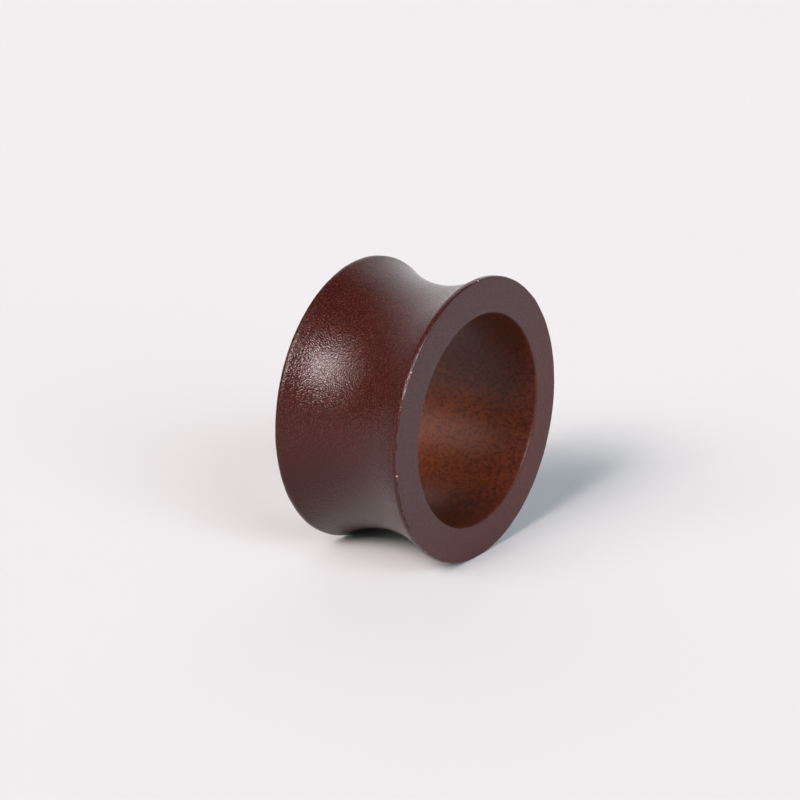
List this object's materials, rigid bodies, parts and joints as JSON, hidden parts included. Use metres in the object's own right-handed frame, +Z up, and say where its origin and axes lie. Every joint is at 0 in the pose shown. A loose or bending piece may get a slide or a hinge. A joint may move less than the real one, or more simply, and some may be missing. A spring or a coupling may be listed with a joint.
{
  "type": "wooden napkin ring",
  "caption": "Turned dark-stained hardwood napkin ring with a concave waist, flared rims, flat end faces and a straight round bore.",
  "frame": {"origin": "on the surface the ring stands on, below the middle of the bore", "axes": "+Y along the bore, so the end faces point along -Y and +Y; +X across the ring; +Z up"},
  "size_m": [0.05, 0.025, 0.0498],
  "materials": {
    "stained_wood": "dark reddish-brown stain under a satin lacquer with a fine raised-grain texture"
  },
  "bodies": {
    "root": {"ring": "stained_wood"}
  },
  "joints": []
}
